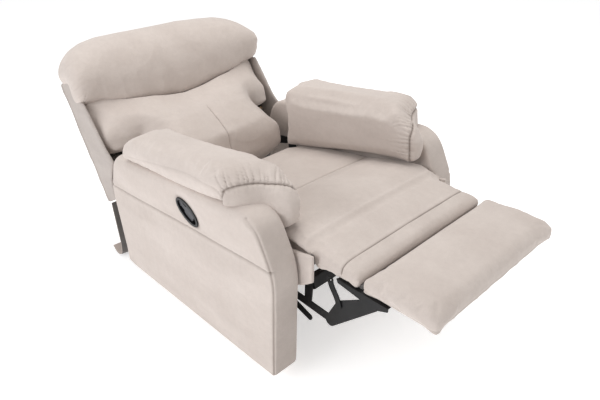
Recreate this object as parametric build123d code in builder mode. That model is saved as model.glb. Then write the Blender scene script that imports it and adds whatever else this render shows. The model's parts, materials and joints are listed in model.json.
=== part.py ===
"""Recliner armchair, reclined with the footrest out, as separate pieces.

Millimetres, +Z up, the sitter faces -Y and +X is the sitter's left.  The origin is on the floor
under the middle of the reclined chair.  The chair reclines by hand: a latch paddle in the right arm
frees the footrest, and leaning back slides the seat forward while the back drops behind the arms.
"""
from build123d import *
from math import atan2, cos, degrees, radians, sin
import os

# ---- overall sizes ---------------------------------------------------------------------------
chair_width = 889.0       # over the outer faces of both arms
arm_width = 102.0         # one arm, outer face to inner face
arm_underside = 50.0      # arm's lower edge above the floor
arm_front = -412.0        # foremost point of an arm
arm_rear = 505.0          # rearmost point of an arm
arm_top = 589.0           # highest point of an arm, under its pad
seat_rear = 284.0         # rear end of the seat cushion
seat_rear_height = 373.0  # seat surface at its rear end
seat_slope = 0.209        # rise of the seat surface towards the front
recline_angle = 29.2      # back panel from the vertical
back_length = 488.0       # back panel, lower edge to upper edge
back_margin = 19.5        # back inside the outer face of each arm
footrest_length = 240.0   # front board of the footrest, front to back

# ---- arms --------------------------------------------------------------------------------------
cover_thickness = 14.0    # foam and fabric over the arm frame
frame_rail = 50.0         # width of the wooden ring in the arm
frame_clearance = 0.5
pad_drape = 72.0          # how far the pad hangs over the arm's inner face, measured outwards
pad_overhang = 6.0        # pad beyond the arm's outer face
pad_rise = 89.0           # pad's highest point above the arm's
soft_gap = 0.5            # between a soft piece and what it lies on
seat_clearance = 12.0     # under the pad's inner side, so that the sloping seat can glide

# ---- base --------------------------------------------------------------------------------------
foot_height = 60.0
foot_radius = 17.0
foot_reach = 290.0        # feet in front of and behind the origin
rail_length = 660.0
sheet_steel = 4.0
channel_low = 120.0       # underside of the slide channel
channel_height = 50.0
channel_depth = 20.0
tube_size = 40.0          # square cross tubes
tube_wall = 2.0
front_tube_y = -60.0
rear_tube_y = 300.0
bolt_radius = 4.0
bolt_head = 7.0
bolt_clearance = 0.05

# ---- layers of the side linkage, each measured inwards from the arm's inner face -----------------
rail_gap = 6.0            # arm to seat side rail
rail_thickness = 16.0     # seat side rail
bracket_layer = 23.0      # outer face of the back bracket
bracket_thickness = 3.0
plate_layer = 27.0        # outer face of the seat side plate
stay_layer = 32.0         # outer face of the chaise stay and of the footrest bracket
front_link_layer = 37.0
lower_link_layer = 43.0
drive_link_layer = 49.0
link_thickness = 4.0
pin_radius = 6.0
pin_clearance = 0.05
knee_gap = 0.5            # end of the knee pin to the front link

# ---- seat and footrest ---------------------------------------------------------------------------
cushion_thickness = 105.0
cushion_side_gap = 4.0    # seat cushion to the arm pad's inner face
chaise_side_gap = 33.5    # chaise pad to the arm's inner face
footrest_side_gap = 32.0
fold_y = -425.0           # line about which the footrest folds down
fold_z = 475.0
chaise_end = -605.0       # front end of the chaise pad
footrest_gap = 6.0        # chaise pad to footrest pad
board_underside = 428.0
board_thickness = 12.0
board_inset = 14.0        # pad beyond its board
chaise_top = 490.0
footrest_top = 484.0

# pivots of the side linkage, (y, z)
lower_pivot = (-300.0, 268.0)    # lower link on the seat side plate
drive_pivot = (-260.0, 250.0)    # drive link on the seat side plate
knee_pivot = (-500.0, 258.0)     # lower link to front link
stay_pivot = (-533.0, 338.0)     # chaise stay on the front link
front_pivot = (-650.0, 405.0)    # front link on the footrest bracket
stay_tip = (-498.0, 412.0)
drive_tip = (-402.0, 203.0)
beam_center = (-405.0, 338.0)    # cross tube carried by the two lower links
beam_size = 38.0
beam_tilt = -25.0

# ---- back ----------------------------------------------------------------------------------------
back_foot = (587.0, 257.0)       # lower rear edge of the back, (y, z)
back_pivot = (308.0, 365.0)      # recline hinge, (y, z)
shell_thickness = 12.0
post_width = 34.0
post_depth = 44.0
post_gap = 1.0                   # frame to the outside shell
lumbar_side_gap = 8.5            # lower part to the arm pad's inner face
pillow_rise = 124.0              # headrest above the back panel
pillow_overlap = 107.0           # headrest in front of the back panel, down to the crease

# ---- release handle, in the right arm ------------------------------------------------------------
handle_y = -11.0
handle_z = 479.0
handle_slope = 27.0              # long axis, down towards the front
bezel_length = 122.0
bezel_height = 62.0
bezel_proud = 3.0
cup_wall = 2.0
cup_rim = 8.0                    # flange round the cup
cup_depth = 24.0
paddle_length = 80.0
paddle_height = 32.0
paddle_thickness = 8.0
paddle_pin_radius = 2.0
paddle_pin_from_end = 9.0

# ---- rear flap -----------------------------------------------------------------------------------
flap_thickness = 3.0

# ---- values worked out from the sizes above ------------------------------------------------------
outer_x = chair_width / 2
inner_x = outer_x - arm_width
pad_inner_x = inner_x - pad_drape
rail_outer_x = inner_x - rail_gap
rail_inner_x = rail_outer_x - rail_thickness
lean = radians(recline_angle)
back_width = chair_width - 2 * back_margin
chaise_width = 2 * (inner_x - chaise_side_gap)
footrest_width = 2 * (inner_x - footrest_side_gap)
lumbar_half_width = pad_inner_x - lumbar_side_gap
pillow_top = back_length + pillow_rise       # both are places along the back, from its foot
crease = back_length - pillow_overlap
chaise_start = fold_y - 3.0
footrest_start = chaise_end - footrest_gap
footrest_front = footrest_start - footrest_length
os.makedirs("parts", exist_ok=True)


def save(part, label):
    """Label one finished piece and write it."""
    part.label = label
    export_step(part, f"parts/{label}.step")


def save_pair(part, label):
    """Write a piece of the left side, +X, and its mirror image on the right side."""
    save(part, f"{label}_left")
    save(mirror(part, about=Plane.YZ), f"{label}_right")


def back(along, forward):
    """(y, z) of a point given along the back from its foot and forward from the rear panel."""
    y = back_foot[0] + along * sin(lean) - forward * cos(lean)
    return y, back_foot[1] + along * cos(lean) + forward * sin(lean)


def seat_top(y):
    """Height of the seat surface."""
    return seat_rear_height + seat_slope * (seat_rear - y)


def side_plane(x):
    """Plane across the chair: sketch x is chair +Y and sketch y is chair +Z."""
    return Plane.YZ.offset(x)


def slab(points, low_x, high_x):
    """Straight-edged side profile, extruded across the chair."""
    with BuildPart(mode=Mode.PRIVATE) as piece:
        with BuildSketch(side_plane(low_x)):
            with BuildLine():
                Polyline(*points, close=True)
            make_face()
        extrude(amount=high_x - low_x)
    return piece.part


def pivot_pin(center, low_x, high_x, radius=pin_radius):
    """Round pin along X."""
    with BuildPart(mode=Mode.PRIVATE) as pin:
        with BuildSketch(side_plane(low_x)):
            with Locations(center):
                Circle(radius)
        extrude(amount=high_x - low_x)
    return pin.part


def arm_section(growth):
    """Side profile of an arm, grown outwards: straight sides joined by arcs."""
    with BuildSketch(mode=Mode.PRIVATE) as section:
        with BuildLine():
            rear_foot, front_foot = (arm_rear - 42, arm_underside), (arm_front + 10, arm_underside)
            FilletPolyline(rear_foot, (arm_rear + 4, arm_top - 224), (arm_rear - 50, arm_top - 67),
                           (arm_front + 90, arm_top + 13), (arm_front, arm_top - 159), front_foot,
                           radius=[180, 95, 110, 200])
            Line(front_foot, rear_foot)
        make_face()
        if growth:
            offset(amount=growth, mode=Mode.REPLACE)
    return section.sketch


handle_plane = Plane(
    origin=(-outer_x, handle_y, handle_z),
    x_dir=(0, -cos(radians(handle_slope)), -sin(radians(handle_slope))),
    z_dir=(-1, 0, 0),
)
cup_half_length = bezel_length / 2 - cup_rim
cup_half_height = bezel_height / 2 - cup_rim


def handle_pocket(clearance):
    """The hole that the handle's cup fills, through the cover and the frame."""
    with BuildPart(mode=Mode.PRIVATE) as pocket:
        with BuildSketch(handle_plane):
            Ellipse(cup_half_length + clearance, cup_half_height + clearance)
        extrude(amount=-cup_depth - clearance)
    return pocket.part


def arm_frame():
    """Wooden ring inside the left arm."""
    inset = cover_thickness + frame_clearance
    with BuildPart() as frame:
        with BuildSketch(side_plane(inner_x + inset)):
            add(arm_section(-inset))
            add(arm_section(-inset - frame_rail), mode=Mode.SUBTRACT)
        extrude(amount=arm_width - 2 * inset)
    return frame.part


def arm_cover():
    """Padded cover of the left arm, open underneath where the frame goes in."""
    with BuildPart() as cover:
        with BuildSketch(side_plane(inner_x)):
            add(arm_section(0))
        extrude(amount=arm_width)
        outer_rim = cover.faces().sort_by(Axis.X)[-1].edges()
        chamfer(outer_rim, length=8)
        with BuildSketch(side_plane(inner_x + cover_thickness)):
            with BuildLine():
                low = arm_underside - 1
                Polyline((arm_front + 30, low), (arm_rear - 62, low), (arm_rear - 62, arm_underside + 40),
                         (arm_front + 30, arm_underside + 40), close=True)
            make_face()
            add(arm_section(-cover_thickness))
        extrude(amount=arm_width - 2 * cover_thickness, mode=Mode.SUBTRACT)
    return cover.part


def arm_pad():
    """Pillow of the left arm: a crowned top that folds down over the inner face."""
    top = arm_top + pad_rise
    rear = arm_rear - 180
    crown = [(37, top - 25), (-166, top), (arm_front + 154, top - 4)]
    outer_rear = [(rear + 30, arm_top - 74), (rear + 38, arm_top - 34), (rear + 18, arm_top),
                  (rear - 30, arm_top + 34)]
    inner_rear = [(rear - 8, arm_top - 60), (rear, arm_top - 14), (rear - 20, arm_top + 26)]
    with BuildPart() as pad:
        with BuildSketch(side_plane(inner_x - soft_gap)):
            with BuildLine():
                Polyline(*outer_rear, *crown, (arm_front + 112, arm_top + 61),
                         (arm_front + 100, arm_top + 11), (arm_front + 100, arm_top - 44), close=True)
            make_face()
            add(arm_section(soft_gap), mode=Mode.SUBTRACT)
        extrude(amount=arm_width + soft_gap + pad_overhang)
        with BuildSketch(side_plane(pad_inner_x)):
            with BuildLine():
                front = arm_front + 67
                Polyline(*inner_rear, *crown, (arm_front + 80, arm_top + 41),
                         (arm_front + 53, arm_top - 2), (front - 5, arm_top - 49),
                         (front, seat_top(front) + seat_clearance),
                         (rear - 30, seat_top(rear - 30) + seat_clearance), close=True)
            make_face()
        extrude(amount=pad_drape - soft_gap)
    return pad.part


# ---- arms ----------------------------------------------------------------------------------------
left_frame = arm_frame()
left_cover = arm_cover()
save(left_frame, "arm_frame_left")
save(left_cover, "arm_cover_left")
save_pair(arm_pad(), "arm_pad")

with BuildPart() as right_frame:
    add(mirror(left_frame, about=Plane.YZ))
    add(handle_pocket(frame_clearance), mode=Mode.SUBTRACT)
save(right_frame.part, "arm_frame_right")

with BuildPart() as right_cover:
    add(mirror(left_cover, about=Plane.YZ))
    add(handle_pocket(0), mode=Mode.SUBTRACT)
save(right_cover.part, "arm_cover_right")

# ---- base: slide rails on feet, tied by cross tubes ----------------------------------------------
web_inner_x = inner_x - sheet_steel
channel_mouth_x = inner_x - sheet_steel - channel_depth
rail_foot_width = 36.0


def bolt_places():
    """Where a base rail is bolted to the arm frame, (y, z)."""
    height = (foot_height + channel_low) / 2
    return [(y, height) for y in (-0.4 * rail_length, 0.4 * rail_length)]


with BuildPart() as base_rail:
    with BuildSketch(Plane.XZ.offset(rail_length / 2)):
        top = channel_low + channel_height
        with BuildLine():
            Polyline((inner_x, foot_height), (inner_x, top), (channel_mouth_x, top),
                     (channel_mouth_x, top - sheet_steel), (web_inner_x, top - sheet_steel),
                     (web_inner_x, channel_low + sheet_steel), (channel_mouth_x, channel_low + sheet_steel),
                     (channel_mouth_x, channel_low), (web_inner_x, channel_low),
                     (web_inner_x, foot_height + sheet_steel),
                     (inner_x - rail_foot_width, foot_height + sheet_steel),
                     (inner_x - rail_foot_width, foot_height), close=True)
        make_face()
    extrude(amount=-rail_length)
    with Locations(*[Location((0, y, z), (0, 90, 0)) for y, z in bolt_places()]):
        Cylinder(bolt_radius + bolt_clearance, 2 * chair_width, mode=Mode.SUBTRACT)
save_pair(base_rail.part, "base_rail")

for name, tube_y in (("front", front_tube_y), ("rear", rear_tube_y)):
    with BuildPart() as cross_tube:
        tube_center = (tube_y, foot_height + sheet_steel + tube_size / 2)
        with BuildSketch(side_plane(-web_inner_x)):
            with Locations(tube_center):
                Rectangle(tube_size, tube_size)
                Rectangle(tube_size - 2 * tube_wall, tube_size - 2 * tube_wall, mode=Mode.SUBTRACT)
        extrude(amount=2 * web_inner_x)
    save(cross_tube.part, f"base_cross_tube_{name}")

with BuildPart() as feet:
    foot_x = inner_x - foot_radius
    with BuildSketch():
        with Locations(*[(x, y) for x in (-foot_x, foot_x) for y in (-foot_reach, foot_reach)]):
            Circle(foot_radius)
    extrude(amount=foot_height)
    chamfer(feet.faces().sort_by(Axis.Z)[0:4].edges(), length=2)
save(feet.part, "floor_feet")

with BuildPart() as arm_bolts:
    for side in (-1, 1):
        for place in bolt_places():
            head_x = side * web_inner_x
            add(pivot_pin(place, head_x, head_x - side * 5, bolt_head))
            add(pivot_pin(place, head_x, side * inner_x, bolt_radius))
save(arm_bolts.part, "arm_bolts")

# ---- release handle ------------------------------------------------------------------------------
pin_x = -paddle_length / 2 - 8 + paddle_pin_from_end
paddle_center = -8.0
paddle_stem = 15.0
paddle_grip = 46.0
paddle_depth = -6.0

with BuildPart() as bezel:
    with BuildSketch(handle_plane):
        Ellipse(bezel_length / 2, bezel_height / 2)
    extrude(amount=bezel_proud)
    chamfer(bezel.faces().sort_by(Axis.X)[0].edges(), length=1.5)
    with BuildSketch(handle_plane):
        Ellipse(cup_half_length, cup_half_height)
    extrude(amount=-cup_depth)
    with BuildSketch(handle_plane.offset(bezel_proud)):
        Ellipse(cup_half_length - cup_wall, cup_half_height - cup_wall)
    extrude(amount=-bezel_proud - cup_depth + cup_wall, mode=Mode.SUBTRACT)
    with BuildSketch(Plane(handle_plane.from_local_coords((pin_x, 0, paddle_depth)),
                           x_dir=handle_plane.x_dir, z_dir=handle_plane.y_dir)):
        Circle(paddle_pin_radius)
    extrude(amount=cup_half_height, both=True, mode=Mode.SUBTRACT)
save(bezel.part, "handle_bezel")

with BuildPart() as handle_pin:
    with BuildSketch(Plane(handle_plane.from_local_coords((pin_x, 0, paddle_depth)),
                           x_dir=handle_plane.x_dir, z_dir=handle_plane.y_dir)):
        Circle(paddle_pin_radius)
    extrude(amount=cup_half_height - cup_wall / 2, both=True)
    with BuildSketch(handle_plane.offset(-cup_depth + cup_wall)):
        Ellipse(cup_half_length, cup_half_height)
    extrude(amount=cup_depth, mode=Mode.INTERSECT)
save(handle_pin.part, "handle_pin")

with BuildPart() as paddle:
    with BuildSketch(handle_plane.offset(paddle_depth - paddle_thickness / 2)):
        with Locations((paddle_center, 0)):
            RectangleRounded(paddle_length, paddle_stem, paddle_stem / 2 - 0.5)
        with Locations((paddle_center + paddle_length / 2 - paddle_grip / 2, 0)):
            RectangleRounded(paddle_grip, paddle_height, 9)
    extrude(amount=paddle_thickness)
    with BuildSketch(Plane(handle_plane.from_local_coords((pin_x, 0, paddle_depth)),
                           x_dir=handle_plane.x_dir, z_dir=handle_plane.y_dir)):
        Circle(paddle_pin_radius + bolt_clearance)
    extrude(amount=paddle_height, both=True, mode=Mode.SUBTRACT)
save(paddle.part, "handle_paddle")

# ---- seat: side plates on glide blocks, wooden rails, springs and cushion ------------------------
plate_outer_x = inner_x - plate_layer
plate_inner_x = plate_outer_x - link_thickness
rail_rise = 33.0          # side rail below the seat surface
rail_front = -450.0
glide_places = (-170.0, 210.0)
plate_bolts = ((-300.0, 345.0), (60.0, 300.0), (220.0, 280.0))

with BuildPart() as seat_plate:
    with BuildSketch(side_plane(plate_inner_x)):
        low = channel_low + 6
        with BuildLine():
            Polyline((-345, 385), (-345, 250), (-320, 238), (-270, 210), (-200, low), (240, low),
                     (262, 210), (back_pivot[0] + 18, back_pivot[1] - 22),
                     (back_pivot[0] + 18, back_pivot[1] + 16), (back_pivot[0] - 20, back_pivot[1] + 12),
                     (back_pivot[0] - 60, 300), (60, 330), (-260, 385), close=True)
        make_face()
        with Locations(lower_pivot, drive_pivot, back_pivot):
            Circle(pin_radius, mode=Mode.SUBTRACT)
        with Locations(*plate_bolts):
            Circle(bolt_radius, mode=Mode.SUBTRACT)
    extrude(amount=link_thickness)
save_pair(seat_plate.part, "seat_side_plate")

with BuildPart() as glide_blocks:
    for side in (-1, 1):
        for block_y in glide_places:
            near_x, far_x = side * plate_outer_x, side * (web_inner_x - 1)
            block_z = channel_low + channel_height / 2
            with Locations(((near_x + far_x) / 2, block_y, block_z)):
                Box(abs(far_x - near_x), 60, channel_height - 2 * sheet_steel - 1)
save(glide_blocks.part, "glide_blocks")


def rail_top(y):
    """Upper edge of the seat side rail."""
    return seat_top(seat_rear) - rail_rise + 0.183 * (seat_rear - y)


with BuildPart() as side_rail:
    with BuildSketch(side_plane(rail_inner_x)):
        with BuildLine():
            Polyline((seat_rear - 14, rail_top(seat_rear - 14)), (rail_front, rail_top(rail_front)),
                     (rail_front, rail_top(rail_front) - 92), (rail_front + 40, 352),
                     (rail_front + 75, 338), (seat_rear - 14, 240), close=True)
        make_face()
        with Locations(*plate_bolts):
            Circle(bolt_radius + bolt_clearance, mode=Mode.SUBTRACT)
    extrude(amount=rail_thickness)
save_pair(side_rail.part, "seat_side_rail")

cross_half = plate_inner_x
front_rail_y = -345.0
rear_rail_y = 262.0
rail_board = 22.0
rail_height = 52.0
spring_drop = cushion_thickness + 14.0
spring_wire = 2.0
spring_bends = 10
spring_swing = 24.0


for name, board_y in (("front", front_rail_y), ("rear", rear_rail_y - rail_board)):
    with BuildPart() as cross_rail:
        board_top = seat_top(board_y + rail_board) - spring_drop + 2 * spring_wire
        with Locations((0, board_y + rail_board / 2, board_top - rail_height / 2)):
            Box(2 * cross_half, rail_board, rail_height)
    save(cross_rail.part, f"seat_{name}_rail")

with BuildPart() as one_spring:
    span = rear_rail_y - front_rail_y
    low_z = seat_top(rear_rail_y) - spring_drop + 4 * spring_wire
    high_z = seat_top(front_rail_y) - spring_drop + 4 * spring_wire
    incline = atan2(high_z - low_z, span)
    spring_plane = Plane((0, rear_rail_y, low_z), x_dir=(0, -cos(incline), sin(incline)),
                         z_dir=(0, sin(incline), cos(incline)))
    pitch = span / cos(incline) / spring_bends
    bends = [(pitch * (n + 0.5), spring_swing * (-1) ** n) for n in range(spring_bends)]
    with BuildLine(spring_plane) as zigzag:
        FilletPolyline((0, 0), *bends, (pitch * spring_bends, 0), radius=pitch * 0.22)
    with BuildSketch(Plane(zigzag.line @ 0, z_dir=zigzag.line % 0)):
        Circle(spring_wire)
    sweep()

with BuildPart() as seat_springs:
    for column in range(5):
        add(Pos((column - 2) * 105.0, 0, 0) * one_spring.part)
save(seat_springs.part, "seat_springs")

with BuildPart() as seat_bolts:
    for side in (-1, 1):
        for place in plate_bolts:
            add(pivot_pin(place, side * (plate_inner_x - 4), side * plate_inner_x, bolt_head))
            add(pivot_pin(place, side * plate_inner_x, side * rail_outer_x, bolt_radius))
save(seat_bolts.part, "seat_bolts")

with BuildPart() as seat_pins:
    for side in (-1, 1):
        low_link_x = inner_x - lower_link_layer - link_thickness
        drive_link_x = inner_x - drive_link_layer - link_thickness
        bracket_x = inner_x - bracket_layer
        for place, end_x in ((lower_pivot, low_link_x), (drive_pivot, drive_link_x)):
            add(pivot_pin(place, side * end_x, side * plate_outer_x, pin_radius))
        add(pivot_pin(back_pivot, side * plate_inner_x, side * bracket_x, pin_radius))
save(seat_pins.part, "seat_pivot_pins")

cushion_half = pad_inner_x - cushion_side_gap
chest_y = arm_front + 20
board_swing = fold_z - board_underside       # the folding board reaches this far behind its fold line
cushion_front = fold_y + board_swing + 6
lip_front = fold_y + 1
lip_gap = 2.0                                # lip over the swinging board
lip_step = 5.0                               # lip above the chaise pad
with BuildPart() as seat_cushion:
    with BuildSketch(side_plane(-cushion_half)):
        with BuildLine():
            under = seat_top(seat_rear) - cushion_thickness
            Polyline((seat_rear, under), (seat_rear, seat_top(seat_rear)),
                     (arm_front + 67, seat_top(arm_front + 67)), (chest_y, chaise_top + lip_step),
                     (chest_y, fold_z + lip_gap), (cushion_front, fold_z + lip_gap),
                     (cushion_front, seat_top(cushion_front) - cushion_thickness), close=True)
        make_face()
    extrude(amount=2 * cushion_half)
    with BuildSketch(side_plane(-chaise_width / 2)):
        with BuildLine():
            Polyline((chest_y, chaise_top + lip_step), (lip_front, chaise_top + 3),
                     (lip_front, fold_z + lip_gap), (chest_y, fold_z + lip_gap), close=True)
        make_face()
    extrude(amount=chaise_width)
save(seat_cushion.part, "seat_cushion")

# ---- footrest: two padded boards on one pair of brackets -----------------------------------------
with BuildPart() as chaise_board:
    with Locations((0, (chaise_start - board_inset + chaise_end) / 2, board_underside + board_thickness / 2)):
        Box(chaise_width - 2 * board_inset, chaise_start - board_inset - chaise_end, board_thickness)
save(chaise_board.part, "chaise_board")

with BuildPart() as chaise_pad:
    with BuildSketch(side_plane(-chaise_width / 2)):
        with BuildLine():
            Polyline((chaise_start, board_underside + board_thickness), (chaise_start, chaise_top),
                     (chaise_end + 71, chaise_top - 17), (chaise_end + 12, chaise_top - 24),
                     (chaise_end, chaise_top - 35), (chaise_end, board_underside + board_thickness),
                     close=True)
        make_face()
    extrude(amount=chaise_width)
save(chaise_pad.part, "chaise_pad")

with BuildPart() as footrest_board:
    footrest_middle = (footrest_start + footrest_front) / 2
    with Locations((0, footrest_middle, board_underside + board_thickness / 2)):
        Box(footrest_width - 2 * board_inset, footrest_length - 2 * board_inset, board_thickness)
save(footrest_board.part, "footrest_board")

with BuildPart() as footrest_pad:
    with BuildSketch(side_plane(-footrest_width / 2)):
        with BuildLine():
            Polyline((footrest_start, board_underside), (footrest_start, footrest_top - 14),
                     (footrest_start - 25, footrest_top - 4), (footrest_middle, footrest_top + 2),
                     (footrest_front + 30, footrest_top - 6), (footrest_front, footrest_top - 26),
                     (footrest_front, board_underside), close=True)
        make_face()
    extrude(amount=footrest_width)
    with Locations((0, footrest_middle, board_underside + board_thickness / 2)):
        Box(footrest_width - 2 * board_inset, footrest_length - 2 * board_inset, board_thickness,
            mode=Mode.SUBTRACT)
save(footrest_pad.part, "footrest_pad")

stay_outer_x = inner_x - stay_layer
stay_inner_x = stay_outer_x - link_thickness
front_outer_x = inner_x - front_link_layer
lower_outer_x = inner_x - lower_link_layer
drive_outer_x = inner_x - drive_link_layer

bracket_front = front_pivot[0] - 52          # front end of the bracket, under the footrest board
flange_width = 22.0
flange_thickness = 3.0

with BuildPart() as footrest_bracket:
    with BuildSketch(side_plane(stay_inner_x)):
        with BuildLine():
            Polyline((bracket_front, board_underside), (bracket_front, board_underside - 12),
                     (front_pivot[0] - 16, front_pivot[1] - 4), (front_pivot[0] + 16, front_pivot[1] - 4),
                     (stay_tip[0] - 30, board_underside - 12), (stay_tip[0] - 24, board_underside),
                     close=True)
        make_face()
        with Locations(front_pivot):
            Circle(16)
            Circle(pin_radius, mode=Mode.SUBTRACT)
    extrude(amount=link_thickness)
    with BuildSketch(side_plane(stay_inner_x - flange_width)):
        with BuildLine():
            Polyline((bracket_front, board_underside), (bracket_front, board_underside - flange_thickness),
                     (stay_tip[0] - 26, board_underside - flange_thickness),
                     (stay_tip[0] - 26, board_underside), close=True)
        make_face()
    extrude(amount=flange_width)
save_pair(footrest_bracket.part, "footrest_bracket")

with BuildPart() as footrest_pins:
    for side in (-1, 1):
        add(pivot_pin(front_pivot, side * (front_outer_x - link_thickness), side * stay_outer_x))
save(footrest_pins.part, "footrest_pins")


def link(places, radii, outer_x, holes):
    """Flat link: the outline drawn tightly round a circle at each place."""
    with BuildPart(mode=Mode.PRIVATE) as plate:
        with BuildSketch(side_plane(outer_x - link_thickness)):
            with BuildSketch(mode=Mode.PRIVATE) as ends:
                for place, radius in zip(places, radii):
                    with Locations(place):
                        Circle(radius)
            make_hull(ends.sketch.edges())
            for place, radius in holes:
                with Locations(place):
                    Circle(radius, mode=Mode.SUBTRACT)
        extrude(amount=link_thickness)
    return plate.part


running = pin_radius + pin_clearance
save_pair(link((knee_pivot, stay_pivot, front_pivot), (18, 12, 18), front_outer_x,
               ((knee_pivot, pin_radius), (stay_pivot, pin_radius), (front_pivot, running))), "front_link")

with BuildPart() as lower_link:
    add(link((lower_pivot, knee_pivot), (14, 14), lower_outer_x,
             ((lower_pivot, running), (knee_pivot, pin_radius))))
    with BuildSketch(side_plane(lower_outer_x - link_thickness)):
        with BuildSketch(mode=Mode.PRIVATE) as ear:
            with Locations((beam_center[0] + 4, knee_pivot[1] + 8)):
                Circle(14)
            with Locations(beam_center):
                Circle(16)
        make_hull(ear.sketch.edges())
    extrude(amount=link_thickness)
save_pair(lower_link.part, "lower_link")

with BuildPart() as lower_link_pins:
    for side in (-1, 1):
        knee_end_x = front_outer_x - link_thickness - knee_gap
        add(pivot_pin(knee_pivot, side * (lower_outer_x - link_thickness), side * knee_end_x))
save(lower_link_pins.part, "knee_pins")

with BuildPart() as link_beam:
    with BuildSketch(side_plane(-(lower_outer_x - link_thickness))):
        with Locations(Location((*beam_center, 0), (0, 0, beam_tilt))):
            RectangleRounded(beam_size, beam_size, 4)
            RectangleRounded(beam_size - 2 * tube_wall, beam_size - 2 * tube_wall, 2,
                             mode=Mode.SUBTRACT)
    extrude(amount=2 * (lower_outer_x - link_thickness))
save(link_beam.part, "link_cross_tube")

save_pair(link((drive_pivot, drive_tip), (13, 11), drive_outer_x, ((drive_pivot, running),)), "drive_link")

with BuildPart() as chaise_stay:
    with BuildSketch(side_plane(stay_inner_x)):
        with BuildLine():
            Spline(stay_pivot, (-524, 362), (-508, 386), stay_tip)
        trace(line_width=20)
        with Locations(stay_pivot, stay_tip):
            Circle(11)
        with Locations(stay_pivot, stay_tip):
            Circle(pin_radius, mode=Mode.SUBTRACT)
    extrude(amount=link_thickness)
save_pair(chaise_stay.part, "chaise_stay")

with BuildPart() as stay_rivets:
    for side in (-1, 1):
        front_inner_x = front_outer_x - link_thickness
        add(pivot_pin(stay_pivot, side * front_inner_x, side * stay_outer_x))
        add(pivot_pin(knee_pivot, side * front_inner_x, side * front_outer_x))
save(stay_rivets.part, "stay_rivets")

# ---- back: wooden frame with webbing, outside shell and two pillows ------------------------------
shell_half = back_width / 2
frame_half = shell_half - shell_thickness - post_gap
post_back = shell_thickness + post_gap
post_front = post_back + post_depth
post_top = back_length - 8
rail_span = 60.0
bracket_outer_x = inner_x - bracket_layer

save_pair(slab([back(rail_span, post_back), back(rail_span, post_front), back(post_top, post_front),
                back(post_top, post_back)], frame_half - post_width, frame_half), "back_post")
save(slab([back(2, post_back), back(2, post_front), back(rail_span, post_front),
           back(rail_span, post_back)], -frame_half, frame_half), "back_lower_rail")
top_half = frame_half - post_width
save(slab([back(post_top - 45, post_back + 8), back(post_top - 45, post_front - 8),
           back(post_top, post_front - 8), back(post_top, post_back + 8)], -top_half, top_half),
     "back_top_rail")

with BuildPart() as webbing:
    for row in range(5):
        start = rail_span + 40 + row * (post_top - rail_span - 110) / 5
        add(slab([back(start, post_front), back(start, post_front + 2), back(start + 50, post_front + 2),
                  back(start + 50, post_front)], -frame_half, frame_half))
save(webbing.part, "back_webbing")

with BuildPart() as shell:
    add(slab([back(0, 0), back(0, shell_thickness), back(back_length, shell_thickness),
              back(back_length, 0)], -shell_half, shell_half))
    for wall_x in (-shell_half, shell_half - shell_thickness):
        add(slab([back(0, 0), back(0, 76), back(80, 112), back(120, 165), back(133, 184), back(196, 160),
                  back(crease, 130), back(crease, 60), back(back_length, 50), back(back_length, 0)],
                 wall_x, wall_x + shell_thickness))
save(shell.part, "back_shell")

with BuildPart() as back_bracket:
    with BuildSketch(side_plane(bracket_outer_x - bracket_thickness)):
        with BuildLine():
            Polyline(back(6, post_front), back(6, post_front + 40), back(-34, 262), back(-20, 312),
                     back(rail_span - 6, post_front + 60), back(rail_span - 6, post_front), close=True)
        make_face()
        with Locations(back_pivot):
            Circle(20)
            Circle(running, mode=Mode.SUBTRACT)
    extrude(amount=bracket_thickness)
    add(slab([back(6, post_front), back(6, post_front + 3), back(rail_span - 6, post_front + 3),
              back(rail_span - 6, post_front)], bracket_outer_x, bracket_outer_x + 40))
save_pair(back_bracket.part, "back_bracket")

pillow_half = shell_half - shell_thickness - 1
rest = post_front + 3
with BuildPart() as lumbar:
    add(slab([back(186, rest), back(186, 200), back(215, 218), back(crease - 131, 232),
              back(crease - 81, 180), back(crease - 51, 155), back(crease - 4, 128),
              back(crease - 4, rest)], -pillow_half, pillow_half))
    add(slab([back(-10, rest), back(-42, 290), back(-22, 318), back(51, 334), back(155, 272),
              back(215, 218), back(215, rest)], -lumbar_half_width, lumbar_half_width))
save(lumbar.part, "lumbar_cushion")

headrest_half = back_width / 2 - 2
save(slab([back(back_length + 2, 14), back(pillow_top - 52, 6), back(pillow_top - 14, 22),
           back(pillow_top, 70), back(pillow_top - 12, 130), back(pillow_top - 67, 180),
           back(crease + 84, 186), back(crease + 19, 152), back(crease, 128), back(crease, rest),
           back(back_length + 2, rest)], -headrest_half, headrest_half), "headrest_pillow")

# ---- rear flap: cloth from the lower edge of the back to the floor -------------------------------
with BuildPart() as flap:
    with BuildSketch(side_plane(-shell_half)):
        with BuildLine():
            Spline((569, 261), (558, 160), (549, 70), (562, 20), (596, 8), (628, 30))
        trace(line_width=flap_thickness)
    extrude(amount=back_width)
save(flap.part, "rear_flap")
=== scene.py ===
"""Recliner armchair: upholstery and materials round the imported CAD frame.  Metres, +Z up."""
import json
import math
import bmesh
import bpy
import numpy as np
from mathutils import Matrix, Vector, noise


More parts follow.
